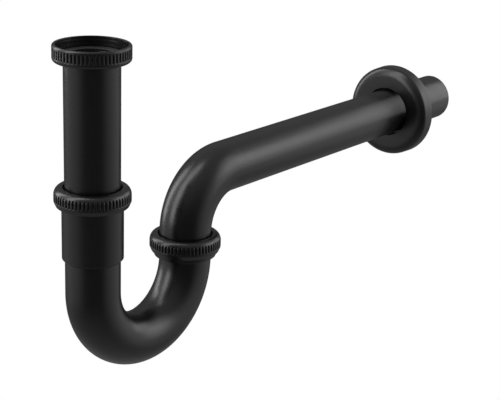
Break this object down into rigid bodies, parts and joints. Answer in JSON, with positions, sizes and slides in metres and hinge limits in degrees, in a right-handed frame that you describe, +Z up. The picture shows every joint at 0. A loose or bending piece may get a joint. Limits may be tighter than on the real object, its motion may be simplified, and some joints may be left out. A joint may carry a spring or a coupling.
{
  "type": "p trap",
  "caption": "Tubular washbasin P trap: flanged inlet tube with union nut, U-bend with compression nuts, elbow and wall tube with a sliding rosette.",
  "frame": {"origin": "middle of the union nut's mouth, on the axis of the basin waste", "axes": "+Z up along the inlet tube towards the basin, +X along the outlet towards the wall, the U-bend in the XZ plane"},
  "size_m": [0.3826, 0.0642, 0.2022],
  "materials": {
    "tube_plastic": "satin black moulded plastic",
    "nut_plastic": "satin black moulded plastic with grip ribs",
    "rosette_plastic": "satin black moulded plastic",
    "seal_rubber": "matt black rubber",
    "slip_plastic": "satin black slip plastic"
  },
  "bodies": {
    "inlet": {"inlet_tube": "tube_plastic", "inlet_flat_seal": "seal_rubber"},
    "union_nut": {"inlet_union_nut": "nut_plastic"},
    "inlet_seal": {"inlet_cone_seal": "seal_rubber"},
    "bend": {"bend_socket": "tube_plastic", "u_bend": "tube_plastic", "outlet_cone_seal": "seal_rubber"},
    "inlet_ring": {"inlet_thrust_ring": "slip_plastic"},
    "inlet_nut": {"inlet_compression_nut": "nut_plastic"},
    "outlet_ring": {"outlet_thrust_ring": "slip_plastic"},
    "outlet_nut": {"outlet_compression_nut": "nut_plastic"},
    "outlet": {"wall_tube": "tube_plastic"},
    "rosette": {"wall_rosette": "rosette_plastic"}
  },
  "joints": [
    {"name": "union_nut_turn", "type": "hinge", "parent": "inlet", "child": "union_nut", "pos_m": [0, 0, -0.005], "axis": [0, 0, 1], "continuous": true},
    {"name": "height_adjust", "type": "slide", "parent": "inlet", "child": "inlet_seal", "axis": [0, 0, 1], "range_m": [-0.01, 0.007]},
    {"name": "bend_swivel", "type": "hinge", "parent": "inlet_seal", "child": "bend", "pos_m": [0, 0, -0.086], "axis": [0, 0, 1], "continuous": true},
    {"name": "inlet_ring_lift", "type": "slide", "parent": "bend", "child": "inlet_ring", "axis": [0, 0, 1], "range_m": [0, 0.005]},
    {"name": "inlet_nut_turn", "type": "hinge", "parent": "inlet_ring", "child": "inlet_nut", "pos_m": [0, 0, -0.087], "axis": [0, 0, 1], "range_deg": [0, 720]},
    {"name": "outlet_ring_lift", "type": "slide", "parent": "bend", "child": "outlet_ring", "axis": [0, 0, 1], "range_m": [0, 0.005]},
    {"name": "outlet_nut_turn", "type": "hinge", "parent": "outlet_ring", "child": "outlet_nut", "pos_m": [0.08016, 0, -0.1366], "axis": [0, 0, 1], "range_deg": [0, 720]},
    {"name": "wall_tube_swivel", "type": "hinge", "parent": "bend", "child": "outlet", "pos_m": [0.08016, 0, -0.136], "axis": [0, 0, 1], "range_deg": [-135, 135]},
    {"name": "rosette_slide", "type": "slide", "parent": "outlet", "child": "rosette", "axis": [1, 0, 0], "range_m": [-0.18, 0.045]}
  ],
  "couplings": [
    {"joint": "inlet_ring_lift", "follows": "inlet_nut_turn", "m_per_rad": 0.0003675},
    {"joint": "outlet_ring_lift", "follows": "outlet_nut_turn", "m_per_rad": 0.0003675}
  ]
}
